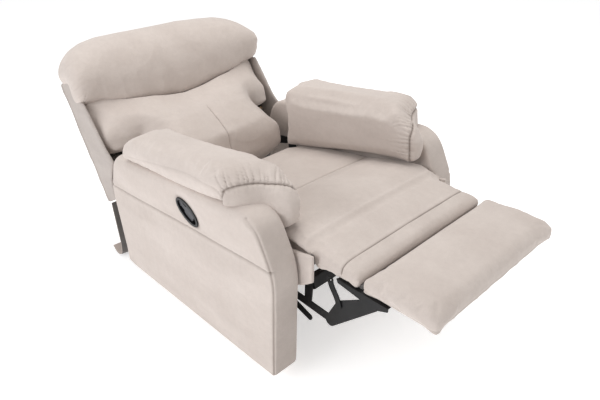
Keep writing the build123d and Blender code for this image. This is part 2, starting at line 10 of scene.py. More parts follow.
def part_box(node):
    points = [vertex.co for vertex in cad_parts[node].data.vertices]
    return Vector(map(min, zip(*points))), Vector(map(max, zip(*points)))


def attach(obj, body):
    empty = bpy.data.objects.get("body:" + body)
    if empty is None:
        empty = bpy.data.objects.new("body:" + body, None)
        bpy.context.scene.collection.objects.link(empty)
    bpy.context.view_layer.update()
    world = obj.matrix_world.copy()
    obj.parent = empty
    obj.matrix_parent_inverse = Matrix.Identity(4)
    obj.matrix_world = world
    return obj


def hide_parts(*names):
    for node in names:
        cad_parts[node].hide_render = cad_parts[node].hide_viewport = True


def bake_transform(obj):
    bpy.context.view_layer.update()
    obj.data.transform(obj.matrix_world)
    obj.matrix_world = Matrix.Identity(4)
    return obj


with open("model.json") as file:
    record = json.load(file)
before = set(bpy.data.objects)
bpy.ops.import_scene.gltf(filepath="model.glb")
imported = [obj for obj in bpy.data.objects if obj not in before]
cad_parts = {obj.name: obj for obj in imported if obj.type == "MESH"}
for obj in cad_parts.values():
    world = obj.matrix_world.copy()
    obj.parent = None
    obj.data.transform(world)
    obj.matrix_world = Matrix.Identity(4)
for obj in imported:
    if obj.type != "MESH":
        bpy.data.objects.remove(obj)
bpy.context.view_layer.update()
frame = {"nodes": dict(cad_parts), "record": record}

nodes = frame["nodes"]
MM = 0.001

# ---- places read from the frame ------------------------------------------------------------------
cover_low, cover_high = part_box("arm_cover_left")
SHELL_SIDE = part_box("back_shell")[1][0]      # outer face of the back shell on the left
LEAN = math.radians(29.2)          # back panel from the vertical
UP_BACK = Vector((0, math.sin(LEAN), math.cos(LEAN)))
OUT_BACK = Vector((0, -math.cos(LEAN), math.sin(LEAN)))


def back_foot():
    """Lower rear edge of the back shell: its lowest corner lies on the rear panel."""
    co = [v.co for v in nodes["back_shell"].data.vertices]
    return min(co, key=lambda p: p.z)


BACK_FOOT = Vector((0, *back_foot()[1:]))


# ---- camera, light, floor ------------------------------------------------------------------------
def set_camera():
    """The photograph's viewing angle."""
    data = bpy.data.cameras.new("camera")
    data.lens, data.sensor_width = 35.23, 36.0
    cam = bpy.data.objects.new("camera", data)
    cam.location = (-1.2918, -1.3782, 1.4348)
    cam.rotation_euler = (math.radians(59.84), 0, math.radians(-44.475))
    bpy.context.scene.collection.objects.link(cam)
    bpy.context.scene.camera = cam


def area_light(name, place, target, size, watts, colour):
    data = bpy.data.lights.new(name, "AREA")
    data.shape, data.size, data.energy, data.color = "DISK", size, watts, colour
    lamp = bpy.data.objects.new(name, data)
    lamp.location = place
    lamp.rotation_euler = (Vector(target) - Vector(place)).to_track_quat("-Z", "Y").to_euler()
    bpy.context.scene.collection.objects.link(lamp)


def set_light():
    """Soft white studio: bright world, a large key from the chair's right and a weak fill."""
    scene = bpy.context.scene
    world = bpy.data.worlds.new("studio")
    scene.world = world
    world.use_nodes = True
    world.node_tree.nodes["Background"].inputs["Color"].default_value = (1, 1, 1, 1)
    world.node_tree.nodes["Background"].inputs["Strength"].default_value = 0.56
    area_light("key", (-3.4, 0.1, 2.0), (0, 0, 0.4), 2.0, 52, (0.96, 0.975, 1.0))
    area_light("top", (0.5, 0.5, 3.4), (0, 0, 0.4), 2.2, 50, (1.0, 0.99, 0.97))
    area_light("front", (0.9, -2.9, 2.1), (0, 0.2, 0.5), 2.0, 15, (1.0, 0.985, 0.96))
    scene.view_settings.view_transform = "Standard"


def make_floor():
    mesh = bpy.data.meshes.new("floor")
    half = 9.0
    mesh.from_pydata([(-half, -half, 0), (half, -half, 0), (half, half, 0), (-half, half, 0)], [],
                     [(0, 1, 2, 3)])
    floor = bpy.data.objects.new("floor", mesh)
    bpy.context.scene.collection.objects.link(floor)
    mat = bpy.data.materials.new("floor_white")
    mat.use_nodes = True
    bsdf = mat.node_tree.nodes["Principled BSDF"]
    bsdf.inputs["Base Color"].default_value = (0.9, 0.9, 0.9, 1)
    bsdf.inputs["Roughness"].default_value = 0.95
    bsdf.inputs["Emission Color"].default_value = (1, 1, 1, 1)
    bsdf.inputs["Emission Strength"].default_value = 0.46
    mesh.materials.append(mat)


# ---- materials -----------------------------------------------------------------------------------
def node_material(name):
    mat = bpy.data.materials.new(name)
    mat.use_nodes = True
    tree = mat.node_tree
    return mat, tree, tree.nodes["Principled BSDF"]


def add_noise(tree, scale, detail, coords, roughness=0.6):
    tex = tree.nodes.new("ShaderNodeTexNoise")
    tex.inputs["Scale"].default_value = scale
    tex.inputs["Detail"].default_value = detail
    tex.inputs["Roughness"].default_value = roughness
    tree.links.new(coords, tex.inputs["Vector"])
    return tex.outputs["Fac"]


def ramp(tree, fac, low, high, low_colour, high_colour):
    node = tree.nodes.new("ShaderNodeValToRGB")
    node.color_ramp.elements[0].position, node.color_ramp.elements[0].color = low, (*low_colour, 1)
    node.color_ramp.elements[1].position, node.color_ramp.elements[1].color = high, (*high_colour, 1)
    tree.links.new(fac, node.inputs["Fac"])
    return node.outputs["Color"]


def mix(tree, fac, a, b, kind="MIX"):
    node = tree.nodes.new("ShaderNodeMix")
    node.data_type, node.blend_type = "RGBA", kind
    for socket, value in ((node.inputs[0], fac), (node.inputs[6], a), (node.inputs[7], b)):
        if isinstance(value, bpy.types.NodeSocket):
            tree.links.new(value, socket)
        else:
            socket.default_value = value
    return node.outputs[2]


def bump(tree, height, strength, distance, normal=None):
    node = tree.nodes.new("ShaderNodeBump")
    node.inputs["Strength"].default_value = strength
    node.inputs["Distance"].default_value = distance
    tree.links.new(height, node.inputs["Height"])
    if normal is not None:
        tree.links.new(normal, node.inputs["Normal"])
    return node.outputs["Normal"]


def suede(name, dark, light):
    """Brushed microfibre: short nap with soft lighter and darker strokes, and a fine pile."""
    mat, tree, bsdf = node_material(name)
    coords = tree.nodes.new("ShaderNodeTexCoord").outputs["Object"]
    stretch = tree.nodes.new("ShaderNodeMapping")
    stretch.inputs["Scale"].default_value = (1.0, 0.55, 1.6)
    stretch.inputs["Rotation"].default_value = (0.5, 0.2, 0.4)
    tree.links.new(coords, stretch.inputs["Vector"])
    strokes = add_noise(tree, 7.0, 6.0, stretch.outputs["Vector"], 0.62)
    pile = add_noise(tree, 900.0, 2.0, coords)
    mottle = add_noise(tree, 60.0, 4.0, coords)
    base = ramp(tree, strokes, 0.32, 0.68, dark, light)
    fine = ramp(tree, pile, 0.3, 0.7, (0.90, 0.90, 0.90), (1.06, 1.06, 1.06))
    base = mix(tree, 1.0, base, fine, "MULTIPLY")
    soft = ramp(tree, mottle, 0.3, 0.7, (0.965, 0.965, 0.965), (1.02, 1.02, 1.02))
    base = mix(tree, 1.0, base, soft, "MULTIPLY")
    # painted shade: the mesh's shade attribute darkens the base colour in seams, pleat valleys and shaded
    # faces
    crease = tree.nodes.new("ShaderNodeAttribute")
    crease.attribute_name = "crease"
    shadow = ramp(tree, crease.outputs["Fac"], 0.0, 1.0, (1.0, 1.0, 1.0), (0.34, 0.31, 0.29))
    base = mix(tree, 1.0, base, shadow, "MULTIPLY")
    tree.links.new(base, bsdf.inputs["Base Color"])
    bsdf.inputs["Roughness"].default_value = 0.88
    bsdf.inputs["Sheen Weight"].default_value = 0.35
    bsdf.inputs["Sheen Roughness"].default_value = 0.55
    bsdf.inputs["Sheen Tint"].default_value = (1.0, 0.95, 0.92, 1)
    bsdf.inputs["Specular IOR Level"].default_value = 0.2
    normal = bump(tree, pile, 0.22, 0.0008)
    normal = bump(tree, mottle, 0.22, 0.004, normal)
    tree.links.new(normal, bsdf.inputs["Normal"])
    return mat


def hard(name, colour, roughness, metallic, grain_scale, grain_depth):
    """Paint, plastic, metal or wood with a fine surface grain and a little colour variation."""
    mat, tree, bsdf = node_material(name)
    coords = tree.nodes.new("ShaderNodeTexCoord").outputs["Object"]
    grain = add_noise(tree, grain_scale, 5.0, coords)
    patches = add_noise(tree, 18.0, 4.0, coords)
    shade = [min(1.0, c * 1.35 + 0.004) for c in colour]
    base = ramp(tree, patches, 0.35, 0.7, colour, shade)
    tree.links.new(base, bsdf.inputs["Base Color"])
    rough = tree.nodes.new("ShaderNodeMapRange")
    rough.inputs["To Min"].default_value = roughness - 0.08
    rough.inputs["To Max"].default_value = roughness + 0.1
    tree.links.new(grain, rough.inputs["Value"])
    tree.links.new(rough.outputs["Result"], bsdf.inputs["Roughness"])
    bsdf.inputs["Metallic"].default_value = metallic
    bsdf.inputs["Specular IOR Level"].default_value = 0.28
    tree.links.new(bump(tree, grain, 0.3, grain_depth), bsdf.inputs["Normal"])
    return mat


def wood(name):
    mat, tree, bsdf = node_material(name)
    coords = tree.nodes.new("ShaderNodeTexCoord").outputs["Object"]
    stretch = tree.nodes.new("ShaderNodeMapping")
    stretch.inputs["Scale"].default_value = (2.0, 14.0, 14.0)
    tree.links.new(coords, stretch.inputs["Vector"])
    grain = add_noise(tree, 9.0, 8.0, stretch.outputs["Vector"])
    base = ramp(tree, grain, 0.35, 0.65, (0.42, 0.27, 0.14), (0.66, 0.48, 0.29))
    tree.links.new(base, bsdf.inputs["Base Color"])
    bsdf.inputs["Roughness"].default_value = 0.6
    tree.links.new(bump(tree, grain, 0.25, 0.001), bsdf.inputs["Normal"])
    return mat


SUEDE = suede("suede_greige", (0.520, 0.452, 0.412), (0.585, 0.516, 0.474))
SHADED = suede("suede_shaded", (0.385, 0.338, 0.312), (0.445, 0.395, 0.365))
# near-black suede for the boards, and painted shade on the flap's inner face
NEAR_BLACK_SUEDE = suede("suede_near_black", (0.10, 0.092, 0.088), (0.16, 0.15, 0.145))
STEEL = hard("steel_black", (0.006, 0.006, 0.0065), 0.5, 0.0, 700.0, 0.0003)
PLASTIC = hard("plastic_black", (0.010, 0.010, 0.011), 0.38, 0.0, 1500.0, 0.0002)
PADDLE = hard("plastic_grey", (0.045, 0.045, 0.05), 0.33, 0.0, 1500.0, 0.0002)
ZINC = hard("zinc", (0.45, 0.45, 0.44), 0.4, 1.0, 400.0, 0.0002)
WOOD = wood("plywood")
STRAP = hard("strap_black", (0.05, 0.045, 0.04), 0.85, 0.0, 900.0, 0.0006)

SLOT_MATERIAL = {"upholstery": SUEDE, "frame_wood": WOOD, "black_plastic": PLASTIC,
                 "black_steel": STEEL, "bright_steel": ZINC, "webbing": STRAP}


# hard pieces that look different from the rest of their slot
OWN_MATERIAL = {"handle_paddle": PADDLE, "chaise_board": NEAR_BLACK_SUEDE, "footrest_board": NEAR_BLACK_SUEDE,
                "seat_front_rail": NEAR_BLACK_SUEDE}


def dress_cad():
    """Every CAD node gets the material of its slot, or its own."""
    for part in frame["record"]["subparts"]:
        node = nodes[part["node"]]
        for index in range(len(node.material_slots)):
            node.material_slots[index].material = SLOT_MATERIAL[part["material_slot"]]
    for name, material in OWN_MATERIAL.items():
        for index in range(len(nodes[name].material_slots)):
            nodes[name].material_slots[index].material = material


# ---- mesh helpers --------------------------------------------------------------------------------
def new_object(name, mesh):
    obj = bpy.data.objects.new(name, mesh)
    bpy.context.scene.collection.objects.link(obj)
    return obj


def baked(obj):
    """obj's mesh with its modifiers applied and removed."""
    bpy.context.view_layer.update()
    graph = bpy.context.evaluated_depsgraph_get()
    mesh = bpy.data.meshes.new_from_object(obj.evaluated_get(graph))
    obj.modifiers.clear()
    old = obj.data
    obj.data = mesh
    bpy.data.meshes.remove(old)
    return obj


def coords_of(obj):
    co = np.empty(len(obj.data.vertices) * 3)
    obj.data.vertices.foreach_get("co", co)
    return co.reshape(-1, 3)


def set_coords(obj, co):
    obj.data.vertices.foreach_set("co", np.asarray(co, float).ravel())
    obj.data.update()


def normals_of(obj):
    n = np.empty(len(obj.data.vertices) * 3)
    obj.data.vertex_normals.foreach_get("vector", n)
    return n.reshape(-1, 3)


def built(name, bm):
    """An object from a finished bmesh."""
    mesh = bpy.data.meshes.new(name)
    bm.to_mesh(mesh)
    bm.free()
    return new_object(name, mesh)


def mirror(obj):
    """Turn obj into its mirror image on the other side of the chair."""
    co = coords_of(obj)
    co[:, 0] *= -1
    set_coords(obj, co)
    obj.data.flip_normals()


def extruded(name, outline, low_x, high_x):
    """Closed solid: a (y, z) outline extruded across the chair."""
    bm = bmesh.new()
    rings = [[bm.verts.new((x, y, z)) for y, z in outline] for x in (low_x, high_x)]
    count = len(outline)
    bm.faces.new(rings[0][::-1])
    bm.faces.new(rings[1])
    for i in range(count):
        j = (i + 1) % count
        bm.faces.new((rings[0][i], rings[0][j], rings[1][j], rings[1][i]))
    bmesh.ops.recalc_face_normals(bm, faces=bm.faces)
    return built(name, bm)


def hull_outline(points, count=160):
    """Convex outline of (y, z) points, resampled evenly."""
    pts = sorted(set((round(p[0], 6), round(p[1], 6)) for p in points))

    def half(seq):
        out = []
        for p in seq:
            while len(out) > 1 and ((out[-1][0] - out[-2][0]) * (p[1] - out[-2][1])
                                    - (out[-1][1] - out[-2][1]) * (p[0] - out[-2][0])) <= 0:
                out.pop()
            out.append(p)
        return out
    ring = half(pts)[:-1] + half(pts[::-1])[:-1]
    return resample(ring, count)


def resample(ring, count):
    """Closed polyline with evenly spaced points."""
    ring = np.array(ring, float)
    closed = np.vstack([ring, ring[:1]])
    steps = np.linalg.norm(np.diff(closed, axis=0), axis=1)
    total = np.concatenate([[0], np.cumsum(steps)])
    places = np.linspace(0, total[-1], count, endpoint=False)
    return [tuple(np.interp(s, total, closed[:, k]) for k in (0, 1)) for s in places]


def rounded(obj, voxel, rounds):
    """Voxel remesh, then relax the corners into soft edges."""
    remesh = obj.modifiers.new("remesh", "REMESH")
    remesh.mode, remesh.voxel_size = "VOXEL", voxel
    smooth = obj.modifiers.new("smooth", "SMOOTH")
    smooth.factor, smooth.iterations = 0.5, rounds
    return baked(obj)


def inflate(obj, pressure, cap, frames):
    """Swell a closed pad by cloth simulation, with each point's move capped."""
    start = coords_of(obj)
    cloth = obj.modifiers.new("cloth", "CLOTH")
    s = cloth.settings
    s.quality, s.mass = 5, 0.35
    s.tension_stiffness = s.compression_stiffness = 12.0
    s.shear_stiffness, s.bending_stiffness = 5.0, 0.6
    s.use_pressure, s.uniform_pressure_force = True, pressure
    s.effector_weights.gravity = 0
    cloth.point_cache.frame_start, cloth.point_cache.frame_end = 1, frames
    scene = bpy.context.scene
    for number in range(1, frames + 1):
        scene.frame_set(number)
    obj = baked(obj)
    scene.frame_set(1)
    moved = coords_of(obj) - start
    length = np.linalg.norm(moved, axis=1)
    factor = np.minimum(1.0, cap / np.maximum(length, 1e-9))
    set_coords(obj, start + moved * factor[:, None])
    return obj


def subdivided(obj):
    mod = obj.modifiers.new("fine", "SUBSURF")
    mod.levels = mod.render_levels = 1
    return baked(obj)


def smoothed(obj, rounds, where=None):
    mod = obj.modifiers.new("smooth", "SMOOTH")
    mod.factor, mod.iterations = 0.5, rounds
    if where is not None:
        group = obj.vertex_groups.new(name="soft")
        for index in np.nonzero(where > 0.02)[0]:
            group.add([int(index)], float(where[index]), "REPLACE")
        mod.vertex_group = "soft"
    baked(obj)
    obj.vertex_groups.clear()
    return obj


def smooth_shade(obj):
    obj.data.polygons.foreach_set("use_smooth", [True] * len(obj.data.polygons))


def ripple(co, scale, seed):
    """Smooth noise in about -1..1 at each point."""
    shift = Vector((seed * 3.1, seed * 1.7, seed * 0.9))
    return np.array([noise.noise(Vector(p) * scale + shift) for p in co])


def push(obj, amount):
    """Move each point along its normal by amount, an array in metres."""
    set_coords(obj, coords_of(obj) + normals_of(obj) * amount[:, None])


def groove(obj, distance, width, depth, where=None):
    """Sewn seam: a narrow valley with a slight swell on each side, at distance 0."""
    d = np.abs(distance)
    amount = -depth * np.exp(-(d / width) ** 2)
    amount = amount + 0.22 * depth * np.exp(-((d - 2.8 * width) / (1.6 * width)) ** 2)
    if where is not None:
        amount = amount * where
    push(obj, amount)


def finish_piece(obj, body, fill, *replaced, material=SUEDE):
    obj.data.materials.clear()
    obj.data.materials.append(material)
    smooth_shade(obj)
    if body:
        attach(obj, body)
    if replaced:
        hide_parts(*replaced)


def soft_step(value, low, high):
    t = np.clip((value - low) / (high - low), 0, 1)
    return t * t * (3 - 2 * t)


def cad_copy(name, node):
    """A new object with the shape of a CAD node."""
    return new_object(name, nodes[node].data.copy())


def joined(name, *parts):
    """One object from several overlapping closed solids; the remesh that follows unites them."""
    bm = bmesh.new()
    for part in parts:
        bm.from_mesh(part.data)
        bpy.data.objects.remove(part)
    return built(name, bm)


SEAM_LOOPS = (-0.006, -0.003, -0.0012, 0, 0.0012, 0.003, 0.006)


def cut(obj, point, normal, offsets):
    """Edge loops across obj along a plane and at each offset from it, so that a seam is crisp."""
    bm = bmesh.new()
    bm.from_mesh(obj.data)
    for offset in offsets:
        where = Vector(point) + Vector(normal) * offset
        bmesh.ops.bisect_plane(bm, geom=bm.verts[:] + bm.edges[:] + bm.faces[:], dist=1e-5,
                               plane_co=where, plane_no=Vector(normal))
    bm.to_mesh(obj.data)
    bm.free()


def line_through(points, per=14):
    """Smooth line through points given in millimetres."""
    p = np.array(points, float) * MM
    p = np.vstack([2 * p[0] - p[1], p, 2 * p[-1] - p[-2]])
    runs = []
    t = np.linspace(0, 1, per, endpoint=False)[:, None]
    for i in range(1, len(p) - 2):
        a, b, c, d = p[i - 1:i + 3]
        runs.append(0.5 * (2 * b + (c - a) * t + (2 * a - 5 * b + 4 * c - d) * t ** 2
                           + (3 * b - a - 3 * c + d) * t ** 3))
    return np.vstack(runs + [p[-2:-1]])


def laid_on(obj, line):
    """The line moved onto the nearest places of obj's surface."""
    found = [obj.closest_point_on_mesh(Vector(p))[1] for p in line]
    line = np.array([tuple(p) for p in found])
    for _ in range(4):
        line[1:-1] = 0.25 * line[:-2] + 0.5 * line[1:-1] + 0.25 * line[2:]
    return line


def lengths_along(line):
    """Distance along a line to each of its points."""
    return np.concatenate([[0], np.cumsum(np.linalg.norm(np.diff(line, axis=0), axis=1))])


def near_line(co, line, reach=0.12):
    """Distance from each point to a line, and how far along the line its nearest place is."""
    best, along = np.full(len(co), 9.0), np.zeros(len(co))
    low, high = line.min(axis=0) - reach, line.max(axis=0) + reach
    near = np.nonzero(np.all((co > low) & (co < high), axis=1))[0]
    pts = co[near]
    closest, place = np.full(len(near), 9.0), np.zeros(len(near))
    done = 0.0
    for a, b in zip(line[:-1], line[1:]):
        ab = b - a
        run = np.linalg.norm(ab)
        t = np.clip((pts - a) @ ab / (ab @ ab), 0, 1)
        d = np.linalg.norm(pts - a - t[:, None] * ab, axis=1)
        nearer = d < closest
        closest[nearer] = d[nearer]
        place[nearer] = (done + t * run)[nearer]
        done += run
    best[near], along[near] = closest, place
    return best, along


def paint_shade(obj, amount):
    """Adds painted shade to the mesh's shade attribute, which the fabric material turns into darker colour.
    """
    data = obj.data.attributes.get("crease")
    count = len(obj.data.vertices)
    if data is None:
        data = obj.data.attributes.new("crease", "FLOAT", "POINT")
    values = np.empty(count)
    data.data.foreach_get("value", values)
    values = np.clip(values + amount, 0, 1)
    obj.data.attributes["crease"].data.foreach_set("value", values)


def seam(obj, distance, width, depth, where=None, shade=0.7):
    """Groove along a sewn line, with painted shade at its bottom."""
    groove(obj, distance, width, depth, where)
    dark = shade * np.exp(-(np.abs(distance) / (0.75 * width)) ** 2)
    paint_shade(obj, dark if where is None else dark * where)


def gather(obj, line, pitch, depth, reach, side, seed):
    """Pleats that run away from a sewn line on the side where side is 1, with painted shade in their valleys.
    """
    co = coords_of(obj)
    d, s = near_line(co, line)
    phase = s / pitch + 0.3 * ripple(co, 14.0, seed) + 0.25 * np.sin(s / pitch * 1.7)
    cell = np.floor(phase)
    chance = np.modf(np.abs(np.sin(cell * 12.9898 + seed) * 43758.5453))[0]
    ridge = np.abs(np.sin(np.pi * phase)) ** 0.6
    length = reach * (0.55 + 0.8 * chance)
    fade = np.exp(-(d / length) ** 1.3) * side
    push(obj, depth * (0.6 + 0.6 * chance) * (ridge - 0.62) * fade)
    # painted shade in the pleat valleys
    paint_shade(obj, 0.5 * np.clip(0.45 - ridge, 0, 1) * 2 * fade)


def wrinkle(obj, depth, scale, seed, where=None, stretch=(1.0, 1.0, 1.0)):
    """Long soft folds in loose cloth."""
    co = coords_of(obj) * np.array(stretch)
    fold_height = 1 - 2 * np.abs(ripple(co, scale, seed)) ** 0.7
    amount = depth * fold_height
    push(obj, amount if where is None else amount * where)


# ---- arms ----------------------------------------------------------------------------------------
ARM_INNER, ARM_OUTER = cover_low[0], cover_high[0]
bezel_low, bezel_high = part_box("handle_bezel")
BEZEL = Vector([(a + b) / 2 for a, b in zip(bezel_low, bezel_high)])
BEZEL_SLOPE = math.radians(27)
BEZEL_LENGTH, BEZEL_HEIGHT = 0.122, 0.062
# seam across the outer panel, (y, z) in millimetres
ARM_SEAM = ((486, 384), (286, 399), (38, 420), (-173, 434), (-313, 444), (-408, 447))


def bezel_radius(co):
    """How far a point of the arm's outer panel is from the handle, 1 at the bezel's rim."""
    y, z = co[:, 1] - BEZEL.y, co[:, 2] - BEZEL.z
    a = y * math.cos(BEZEL_SLOPE) + z * math.sin(BEZEL_SLOPE)
    b = -y * math.sin(BEZEL_SLOPE) + z * math.cos(BEZEL_SLOPE)
    return np.hypot(a / (BEZEL_LENGTH / 2), b / (BEZEL_HEIGHT / 2))


def arm_outline():
    """Side outline of the arm and, for each point, its outward direction."""
    ring = np.array(hull_outline([(v.co.y, v.co.z) for v in nodes["arm_cover_left"].data.vertices], 260))
    step = np.roll(ring, -2, axis=0) - np.roll(ring, 2, axis=0)
    out = np.stack([step[:, 1], -step[:, 0]], axis=1)
    return ring, out / np.linalg.norm(out, axis=1)[:, None]


def arm_edge_radius(out):
    """Rounding of the outer edge: large over the top and the rear, small at the front, none below."""
    radius = np.where(out[:, 0] < -0.55, 0.012, 0.030)
    radius = np.where(out[:, 1] < -0.6, 0.003, radius)
    kernel = np.ones(13) / 13
    return np.convolve(np.concatenate([radius[-6:], radius, radius[:6]]), kernel, "valid")


def arm_solid(name):
    ring, out = arm_outline()
    rows = []
    for angle in np.radians((90, 60, 30, 0)):
        r = 0.010
        inset = r * (1 - math.cos(angle))
        x = ARM_INNER + r * (1 - math.sin(angle))
        rows.append([(x, *(p - n * inset)) for p, n in zip(ring, out)])
    for angle in np.radians((0, 18, 36, 54, 72, 90)):
        rows.append([(ARM_OUTER - r * (1 - math.sin(angle)), *(p - n * r * (1 - math.cos(angle))))
                     for p, n, r in zip(ring, out, arm_edge_radius(out))])
    bm = bmesh.new()
    verts = [[bm.verts.new(p) for p in row] for row in rows]
    count = len(ring)
    bm.faces.new(verts[0][::-1])
    bm.faces.new(verts[-1])
    for low, high in zip(verts[:-1], verts[1:]):
        for i in range(count):
            j = (i + 1) % count
            bm.faces.new((low[i], low[j], high[j], high[i]))
    bmesh.ops.recalc_face_normals(bm, faces=bm.faces)
    return built(name, bm)


def arm_details(obj, seed, handle):
    """Panel seams, the crown of the outer panel and its slack folds.  obj is on the left side."""
    co = coords_of(obj)
    ring, out = arm_outline()
    # seam between the outer panel and the strip round the front, at the middle of the rounded edge
    front = [(ARM_OUTER - 0.0035, *(p - n * 0.0035)) for p, n in zip(ring, out)
             if n[0] < -0.05 and n[1] > -0.5 and p[0] < 0.15]
    edge = np.array(front)
    edge = laid_on(obj, edge[np.argsort(-edge[:, 2] + 0.4 * edge[:, 1])])
    d_edge, _ = near_line(co, edge)
    # seam across the outer panel
    across = line_through([(ARM_OUTER / MM, y, z) for y, z in ARM_SEAM])
    seam_z = np.interp(co[:, 1], across[::-1, 1], across[::-1, 2])
    outer = soft_step(co[:, 0], ARM_OUTER - 0.02, ARM_OUTER - 0.005)
    d_across = co[:, 2] - seam_z
    inside = np.clip((co[:, 1] + 0.40) / 0.12, 0, 1) * np.clip((0.47 - co[:, 1]) / 0.12, 0, 1)
    tall = np.clip((co[:, 2] - 0.052) / 0.10, 0, 1)
    below = np.clip(-d_across / 0.07, 0, 1) * tall
    above = np.clip(d_across / 0.05, 0, 1)
    swell = outer * inside * (0.006 * below + 0.003 * above)
    if handle:
        swell *= soft_step(bezel_radius(co * np.array([-1, 1, 1])), 1.15, 2.2)
    folds = 1 - 2 * np.abs(ripple(co * np.array([1, 1.0, 0.28]), 9.0, seed)) ** 0.8
    folds += 0.5 * (1 - 2 * np.abs(ripple(co * np.array([1, 1.0, 0.35]), 21.0, seed + 3)))
    swell += outer * 0.0016 * folds * (0.25 + 0.75 * below) * (inside * 0.8 + 0.2)
    puckers = np.sin(co[:, 1] * 260 + 3 * ripple(co, 8.0, seed)) * np.exp(-np.abs(d_across) / 0.012)
    swell += outer * 0.0004 * puckers
    push(obj, swell)
    seam(obj, d_across, 0.0036, 0.0028, outer, 0.55)
    seam(obj, d_edge, 0.0034, 0.0026, None, 0.5)
    # painted shade on the front strip, darker towards the bottom
    n = normals_of(obj)
    strip = soft_step(-n[:, 1], 0.5, 0.9) * (coords_of(obj)[:, 1] < -0.1)
    paint_shade(obj, strip * (0.20 + 0.18 * (1 - soft_step(coords_of(obj)[:, 2], 0.05, 0.45))))


def make_arms():
    for side, seed in (("left", 3), ("right", 11)):
        obj = rounded(arm_solid(f"arm_{side}_upholstery"), 0.006, 3)
        subdivided(obj)
        handle = side == "right"
        arm_details(obj, seed, handle)
        if handle:
            mirror(obj)
            open_for_handle(obj)
        finish_piece(obj, "base", 0.8, f"arm_cover_{side}")


def open_for_handle(obj):
    """Cut the outer panel away behind the bezel and draw the cloth in round it."""
    co = coords_of(obj)
    ratio = bezel_radius(co)
    outer = co[:, 0] < -ARM_OUTER + 0.02
    pull = np.exp(-((ratio - 1.0) / 0.22) ** 2) * outer
    co[:, 0] += 0.0022 * pull
    set_coords(obj, co)
    # painted shade round the bezel's rim, where the cloth is drawn in
    paint_shade(obj, 0.45 * np.exp(-((ratio - 1.0) / 0.12) ** 2) * outer)
    bm = bmesh.new()
    bm.from_mesh(obj.data)
    bm.verts.ensure_lookup_table()
    gone = [f for f in bm.faces if all(outer[v.index] and ratio[v.index] < 0.93 for v in f.verts)]
    bmesh.ops.delete(bm, geom=gone, context="FACES")
    bm.to_mesh(obj.data)
    bm.free()


# ---- arm pads ------------------------------------------------------------------------------------
PAD_SEAM = ((449, -206, 592), (449, -217, 636), (436, -236, 650), (405, -256, 658), (365, -274, 657),
            (325, -294, 645), (292, -312, 622), (275, -324, 590), (270, -330, 550), (270, -333, 500),
            (270, -338, 462))
PAD_FRONT_X = (0.330, 0.345, 0.365, 0.405, 0.430, 0.452)
PAD_FRONT_Y = (-0.318, -0.304, -0.290, -0.268, -0.248, -0.226)
PAD_SIDE_SEAM = ((450, -217, 636), (450, -120, 634), (450, -23, 626), (450, 90, 606), (450, 197, 588),
                 (446, 300, 566))


def pad_front_side(co, line):
    """1 behind the gathered seam, on the pad's long top, and 0 on the strip in front of it."""
    _, s = near_line(co, line, 0.3)
    steps = lengths_along(line)
    y = np.interp(s, steps, line[:, 1])
    return soft_step(co[:, 1] - y, -0.004, 0.006)


def make_arm_pads():
    for side, seed in (("left", 5), ("right", 17)):
        name = f"arm_pad_{side}_upholstery"
        obj = rounded(cad_copy(name, "arm_pad_left"), 0.006, 30)
        obj = inflate(obj, pressure=5.0, cap=0.012, frames=14)
        co = coords_of(obj)
        # the front ends further back on the outer side, where it meets the panel
        front = np.interp(co[:, 0], PAD_FRONT_X, PAD_FRONT_Y)
        start, reach = -0.10, np.interp(co[:, 0], (0.330, 0.345), (-0.352, -0.318))
        part = np.clip((co[:, 1] - start) / (reach - start), 0, None)
        pulled = start + part * (front - start)
        weight = soft_step(co[:, 0], 0.315, 0.350) * (co[:, 1] < start)
        co[:, 1] += weight * (pulled - co[:, 1])
        # the drape's lower edge comes down onto the seat
        low = soft_step(0.335 - co[:, 0], 0, 0.02) * soft_step(-co[:, 2], -0.50, -0.42)
        co[:, 2] -= 0.007 * low
        set_coords(obj, co)
        smoothed(obj, 6)
        subdivided(obj)
        push(obj, 0.003 * np.clip(normals_of(obj)[:, 2], 0, 1))
        line = laid_on(obj, line_through(PAD_SEAM))
        wrinkle(obj, 0.0013, 8.0, seed, None, (1.0, 0.5, 1.0))
        co = coords_of(obj)
        behind = pad_front_side(co, line)
        gather(obj, line, 0.0150, 0.0078, 0.042, behind, seed)
        gather(obj, line, 0.0085, 0.0028, 0.020, behind, seed + 2)
        gather(obj, line, 0.0190, 0.0024, 0.014, 1 - behind, seed + 4)
        d, _ = near_line(co, line)
        seam(obj, d, 0.0042, 0.0050, None, 0.8)
        side_line = laid_on(obj, line_through(PAD_SIDE_SEAM))
        d, _ = near_line(coords_of(obj), side_line)
        seam(obj, d, 0.0034, 0.0012, None, 0.16)
        if side == "right":
            mirror(obj)
        finish_piece(obj, "base", 0.85, f"arm_pad_{side}")


# ---- back ----------------------------------------------------------------------------------------
def back_frame(co):
    """Distances along the back from its foot and forward from its rear panel, for each point."""
    d = co - np.array(BACK_FOOT)
    return d @ np.array(UP_BACK), d @ np.array(OUT_BACK)


CREASE_X = (0, 98, 160, 250, 300, 339, 425)
CREASE_S = (316, 326, 337, 350, 363, 379, 384)
TOP_X = (-440, -415, -380, -335, -270, 100, 200, 290, 345, 385, 415, 440)
TOP_S = (542, 562, 585, 602, 611, 611, 606, 596, 581, 560, 535, 512)


# pleated lower corner of the headrest: x in millimetres, along and forward on the back in metres
HEADREST_CORNER = ((425, 0.500, 0.110), (424, 0.450, 0.128), (420, 0.405, 0.136), (402, 0.392, 0.138))


def crease_height(x):
    """Where the headrest meets the lumbar cushion, lower in the middle."""
    return np.interp(np.abs(x), np.array(CREASE_X) * MM, np.array(CREASE_S) * MM)


def top_height(x):
    return np.interp(x, np.array(TOP_X) * MM, np.array(TOP_S) * MM)


def slide_along(obj, shift):
    set_coords(obj, coords_of(obj) + shift[:, None] * np.array(UP_BACK))


